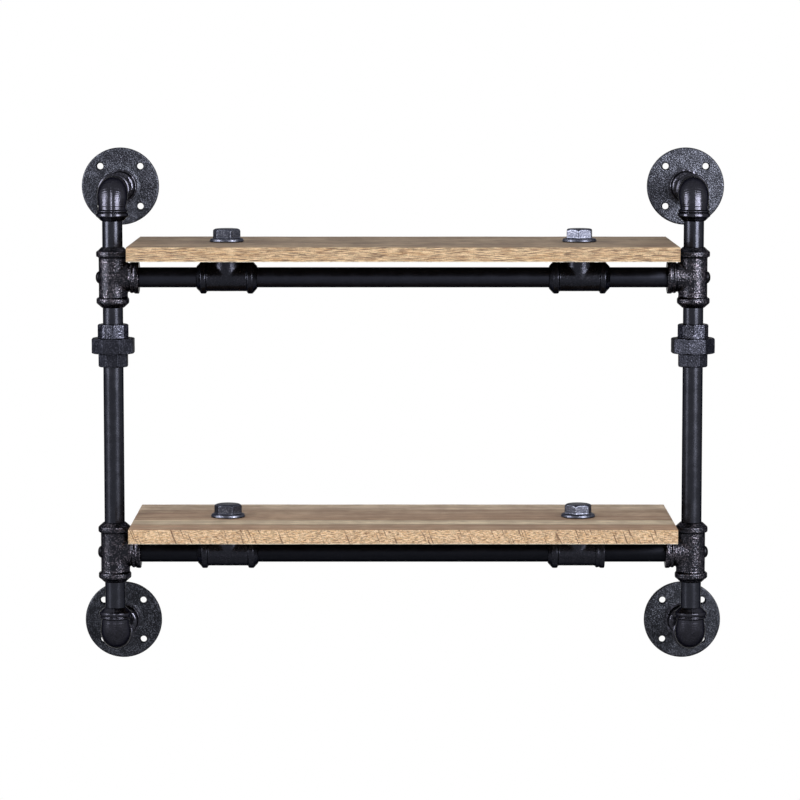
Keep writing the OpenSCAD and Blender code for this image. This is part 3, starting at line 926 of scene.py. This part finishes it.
for level, top, edge in (("upper", upper_top, upper_edge), ("lower", lower_top, lower_edge)):
    piece = board(level)
    piece.name = piece.data.name = f"board_{level}_dressed"
    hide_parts("board_" + level)
    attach(piece, "root")
    dress(shade(piece), top)
    finish_part(piece, edge, lambda place, normal: abs(normal.z) < 0.6)
    # The downward-facing front bevels take the near-white colour.
    finish_part(piece, pale_arris, lambda place, normal: -0.96 < normal.z < -0.2 and normal.y < -0.2)

# The lower rails take the darker copy of the rail black, which is painted shade.
for name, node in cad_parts.items():
    if "nipple" in name or "pipe" in name:
        node.data.materials.clear()
        node.data.materials.append(post_black if "rail" not in name else
                                   shaded_lower_rail_black if "lower" in name else rail_black)
    elif name.startswith("rail_insert"):
        node.data.materials.clear()
        node.data.materials.append(plated)


# ---- Studio ----

LAMP_DISTANCE = 2.2
FLOOR_R = 2.6
FLOOR_Z = -1.3


def softbox(name, azimuth, low, high, wide, radiance, glossy):
    """A flat upright lamp turned to the shelf, from one height to another.
    Azimuth is to the right of straight in front. It gives either the gloss or the plain light."""
    lamp = bpy.data.lights.new(name, "AREA")
    lamp.shape, lamp.size, lamp.size_y = "RECTANGLE", wide, high - low
    lamp.energy = radiance * wide * (high - low) * math.pi
    holder = bpy.data.objects.new(name, lamp)
    bpy.context.scene.collection.objects.link(holder)
    angle = math.radians(azimuth)
    out = Vector((math.sin(angle), -math.cos(angle), 0))
    holder.location = Vector((0, pipe_y, (low + high) / 2)) + out * LAMP_DISTANCE
    holder.rotation_euler = out.to_track_quat("Z", "Y").to_euler()
    holder.visible_diffuse = not glossy
    holder.visible_glossy = glossy


softbox("right_gloss", 40, 0.05, 1.7, 1.1, 28, True)
softbox("left_gloss", -66, 0.05, 1.7, 0.9, 22, True)
softbox("low_gloss", 41, -0.8, -0.1, 0.4, 1.2, True)
softbox("low_left_gloss", -64, -0.8, -0.1, 0.5, 2.2, True)
softbox("right_light", 40, -0.2, 1.6, 1.2, 5.0, False)
softbox("left_light", -50, -0.2, 1.6, 1.2, 4.0, False)

world = bpy.data.worlds.new("studio")
bpy.context.scene.world = world
world.use_nodes = True
tree = world.node_tree
paths = put(tree, "LightPath")
seen = maths(tree, "MAXIMUM", paths.outputs["Is Camera Ray"],
             maths(tree, "MAXIMUM", paths.outputs["Is Glossy Ray"], paths.outputs["Is Transmission Ray"]))
soft = tree.nodes["Background"]
soft.inputs["Color"].default_value = (1, 1, 1, 1)
soft.inputs["Strength"].default_value = 0.45
white = put(tree, "Background", {"Color": (1, 1, 1, 1), "Strength": 1.0})
mix = put(tree, "MixShader", {0: seen, 1: soft.outputs[0], 2: white.outputs[0]})
tree.links.new(mix.outputs[0], tree.nodes["World Output"].inputs["Surface"])

clear_selection()
bpy.ops.mesh.primitive_circle_add(
    vertices=96, radius=FLOOR_R, fill_type="NGON", location=(0, 0, FLOOR_Z))
floor = bpy.context.object
floor.name = floor.data.name = "floor"
paper = bpy.data.materials.new("pale_paper")
paper.use_nodes = True
tree = paper.node_tree
shader = tree.nodes["Principled BSDF"]
shader.inputs["Base Color"].default_value = (0.86, 0.86, 0.86, 1)
shader.inputs["Roughness"].default_value = 0.9
spot = put(tree, "TexCoord").outputs["Object"]
reach = put(tree, "VectorMath", {0: spot}, operation="LENGTH").outputs["Value"]
facing = maths(tree, "SUBTRACT", 1.0, put(tree, "NewGeometry").outputs["Backfacing"])
solid = maths(tree, "MULTIPLY", ramp(tree, reach, 2.5, 1.6), facing)
mix = put(tree, "MixShader", {0: solid, 1: put(tree, "BsdfTransparent").outputs[0], 2: shader.outputs[0]})
tree.links.new(mix.outputs[0], tree.nodes["Material Output"].inputs["Surface"])
floor.data.materials.append(paper)
floor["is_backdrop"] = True

camera = bpy.data.objects.new("camera", bpy.data.cameras.new("camera"))
bpy.context.scene.collection.objects.link(camera)
camera.location = (-0.0047, -3.8056, 0.3937)
camera.rotation_euler = (math.pi / 2 - 0.1020, 0, -0.0004)
camera.data.lens = 158.38
bpy.context.scene.camera = camera
bpy.context.scene.view_settings.view_transform = "Standard"

({name: [list(corner) for corner in box]
           for name, box in (("solids", solid_bounds), ("dressed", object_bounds()))})
